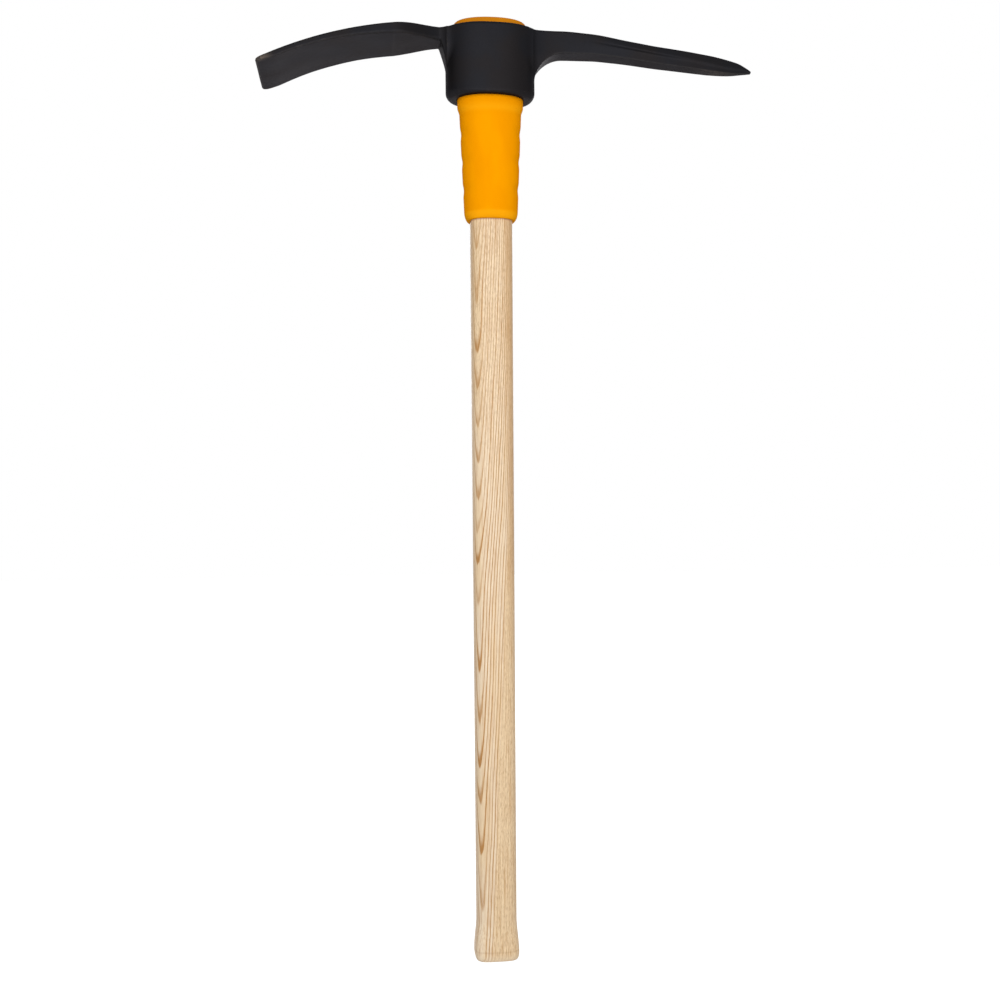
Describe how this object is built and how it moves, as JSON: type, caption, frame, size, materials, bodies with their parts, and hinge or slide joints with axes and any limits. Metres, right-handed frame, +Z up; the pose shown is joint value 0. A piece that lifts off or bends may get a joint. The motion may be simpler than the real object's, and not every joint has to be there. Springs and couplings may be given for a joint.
{
  "type": "pick mattock",
  "caption": "Forged digging head with a curved adze blade and a pointed pick, seated on a polymer sleeve and wedged to a straight oval ash handle.",
  "frame": {"origin": "centre of the flat face of the handle's butt", "axes": "+Z up the handle to the head, -X towards the adze's edge, +X towards the pick's tip, Y across the arms"},
  "size_m": [0.488, 0.0834, 0.9144],
  "materials": {
    "head_paint": "black satin paint over forged steel",
    "sleeve_polymer": "satin orange polymer",
    "ash": "clear-lacquered pale ash",
    "wedge_wood": "raw hardwood",
    "wedge_steel": "bare steel"
  },
  "bodies": {
    "root": {"mattock_head": "head_paint", "overstrike_sleeve": "sleeve_polymer", "handle": "ash", "kerf_wedge": "wedge_wood", "adze_side_wedge": "wedge_steel", "pick_side_wedge": "wedge_steel"}
  },
  "joints": []
}
